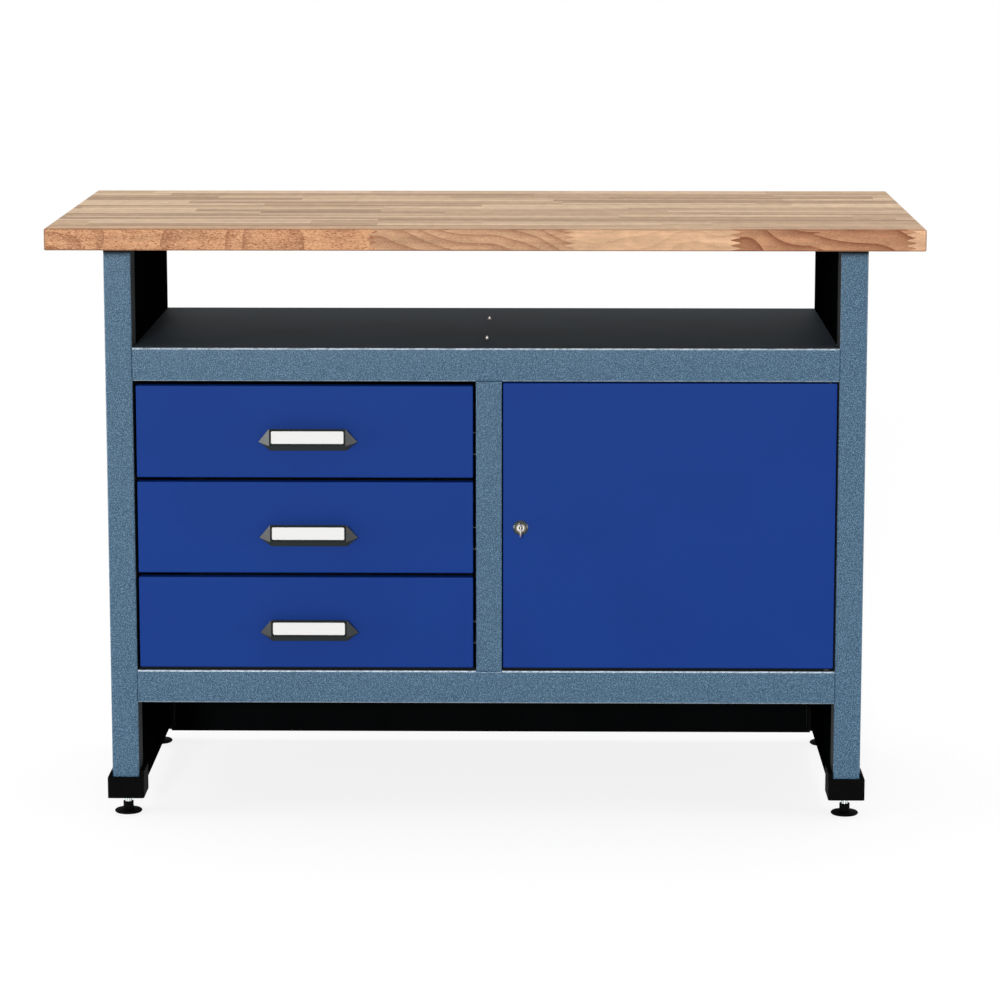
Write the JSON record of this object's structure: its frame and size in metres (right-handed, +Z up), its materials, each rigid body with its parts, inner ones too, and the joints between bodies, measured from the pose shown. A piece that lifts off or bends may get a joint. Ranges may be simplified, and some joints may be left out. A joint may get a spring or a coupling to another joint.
{
  "type": "workbench with drawers and cupboard",
  "caption": "Free-standing workshop bench with a wood block top, steel frame, open tool tray, drawers and a lockable cupboard on levelling feet.",
  "frame": {"origin": "on the floor, under the middle of the worktop", "axes": "+X to the right seen from the front, +Y to the rear, +Z up"},
  "size_m": [1.2, 0.6, 0.84],
  "materials": {
    "beech": "oiled finger-jointed beech block",
    "hammertone": "blue-grey hammertone paint on sheet steel",
    "blue_paint": "satin blue powder coat on sheet steel",
    "black_paint": "black powder coat on sheet steel",
    "tray_paint": "semi-gloss dark grey paint on sheet steel",
    "galvanised": "zinc-plated steel",
    "handle_plastic": "dark grey moulded plastic",
    "label_card": "blank white card behind a clear film",
    "nickel": "nickel-plated brass and steel",
    "foot_plastic": "black moulded plastic, with a zinc-plated stud in each levelling foot"
  },
  "bodies": {
    "frame": {"worktop": "beech", "front_left_leg": "hammertone", "front_right_leg": "hammertone", "rear_left_leg": "hammertone", "rear_right_leg": "hammertone", "upper_rail": "hammertone", "lower_rail": "hammertone", "centre_post": "hammertone", "left_side_panel": "black_paint", "right_side_panel": "black_paint", "back_panel": "black_paint", "cabinet_floor": "black_paint", "partition": "black_paint", "shelf": "black_paint", "shelf_rail_left": "black_paint", "shelf_rail_right": "black_paint", "tool_tray": "tray_paint", "runner_left_1": "galvanised", "runner_right_1": "galvanised", "runner_left_2": "galvanised", "runner_right_2": "galvanised", "runner_left_3": "galvanised", "runner_right_3": "galvanised", "hinge_pin_bottom": "black_paint", "foot_cap_front_left": "foot_plastic", "foot_cap_front_right": "foot_plastic", "foot_cap_rear_left": "foot_plastic", "foot_cap_rear_right": "foot_plastic"},
    "drawer_1": {"drawer_front_1": "blue_paint", "drawer_box_1": "black_paint", "drawer_handle_1": "handle_plastic", "label_card_1": "label_card", "drawer_slide_left_1": "galvanised", "drawer_slide_right_1": "galvanised"},
    "drawer_2": {"drawer_front_2": "blue_paint", "drawer_box_2": "black_paint", "drawer_handle_2": "handle_plastic", "label_card_2": "label_card", "drawer_slide_left_2": "galvanised", "drawer_slide_right_2": "galvanised"},
    "drawer_3": {"drawer_front_3": "blue_paint", "drawer_box_3": "black_paint", "drawer_handle_3": "handle_plastic", "label_card_3": "label_card", "drawer_slide_left_3": "galvanised", "drawer_slide_right_3": "galvanised"},
    "door": {"door_panel": "blue_paint", "door_pivot_top": "galvanised", "door_pivot_bottom": "galvanised", "hinge_pin_top": "black_paint", "lock_housing": "nickel", "lock_nut": "galvanised"},
    "lock_core": {"lock_plug": "nickel", "lock_cam": "galvanised", "key": "nickel"},
    "foot_front_left": {"levelling_foot_front_left": "foot_plastic"},
    "foot_front_right": {"levelling_foot_front_right": "foot_plastic"},
    "foot_rear_left": {"levelling_foot_rear_left": "foot_plastic"},
    "foot_rear_right": {"levelling_foot_rear_right": "foot_plastic"}
  },
  "joints": [
    {"name": "drawer_1_slide", "type": "slide", "parent": "frame", "child": "drawer_1", "axis": [0, -1, 0], "range_m": [0, 0.3]},
    {"name": "drawer_2_slide", "type": "slide", "parent": "frame", "child": "drawer_2", "axis": [0, -1, 0], "range_m": [0, 0.3]},
    {"name": "drawer_3_slide", "type": "slide", "parent": "frame", "child": "drawer_3", "axis": [0, -1, 0], "range_m": [0, 0.3]},
    {"name": "door_hinge", "type": "hinge", "parent": "frame", "child": "door", "pos_m": [0.4785, -0.23, 0.418], "axis": [0, 0, 1], "range_deg": [0, 110]},
    {"name": "lock_turn", "type": "hinge", "parent": "door", "child": "lock_core", "pos_m": [0.049, -0.235, 0.416], "axis": [0, 1, 0], "range_deg": [0, 90]},
    {"name": "foot_front_left_screw", "type": "slide", "parent": "frame", "child": "foot_front_left", "axis": [0, 0, 1], "range_m": [-0.015, 0.01]},
    {"name": "foot_front_right_screw", "type": "slide", "parent": "frame", "child": "foot_front_right", "axis": [0, 0, 1], "range_m": [-0.015, 0.01]},
    {"name": "foot_rear_left_screw", "type": "slide", "parent": "frame", "child": "foot_rear_left", "axis": [0, 0, 1], "range_m": [-0.015, 0.01]},
    {"name": "foot_rear_right_screw", "type": "slide", "parent": "frame", "child": "foot_rear_right", "axis": [0, 0, 1], "range_m": [-0.015, 0.01]}
  ]
}
